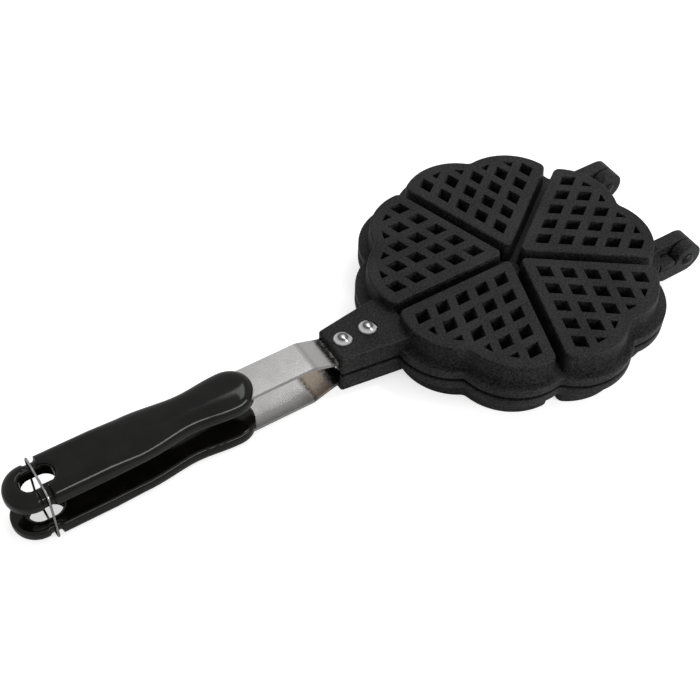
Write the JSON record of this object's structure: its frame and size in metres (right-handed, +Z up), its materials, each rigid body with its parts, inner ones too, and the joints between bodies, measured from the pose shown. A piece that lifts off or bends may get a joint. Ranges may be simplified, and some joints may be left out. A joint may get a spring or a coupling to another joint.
{
  "type": "stovetop waffle iron",
  "caption": "Hinged stovetop waffle iron that bakes a flower of hearts, with long twin handles held shut by a wire ring.",
  "frame": {"origin": "midway along and across the closed iron, on the surface that the lower plate's hearts stand on", "axes": "+X from the handles towards the hinge, +Y to the left looking along +X, +Z up out of the upper plate's hearts"},
  "size_m": [0.3768, 0.1644, 0.0352],
  "materials": {
    "coated_casting": "cast, with a fine-grained matte black non-stick coating",
    "strap_steel": "plain bright",
    "rivet_steel": "plain bright, domed",
    "pin_steel": "darkened",
    "grip_black": "moulded, glossy black, heat resistant",
    "ring_wire": "bright plated wire"
  },
  "bodies": {
    "lower_half": {"lower_plate": "coated_casting", "lower_strap": "strap_steel", "lower_grip": "grip_black", "lower_front_rivet": "rivet_steel", "lower_rear_rivet": "rivet_steel", "left_hinge_pin": "pin_steel", "right_hinge_pin": "pin_steel"},
    "upper_half": {"upper_plate": "coated_casting", "upper_strap": "strap_steel", "upper_grip": "grip_black", "upper_front_rivet": "rivet_steel", "upper_rear_rivet": "rivet_steel"},
    "ring": {"lock_ring": "ring_wire"}
  },
  "joints": [
    {"name": "lid_hinge", "type": "hinge", "parent": "lower_half", "child": "upper_half", "pos_m": [0.1796, 0, 0.0176], "axis": [0, 1, 0], "range_deg": [0, 180]},
    {"name": "ring_slide", "type": "slide", "parent": "lower_half", "child": "ring", "axis": [-1, 0, 0], "range_m": [0, 0.02]}
  ]
}
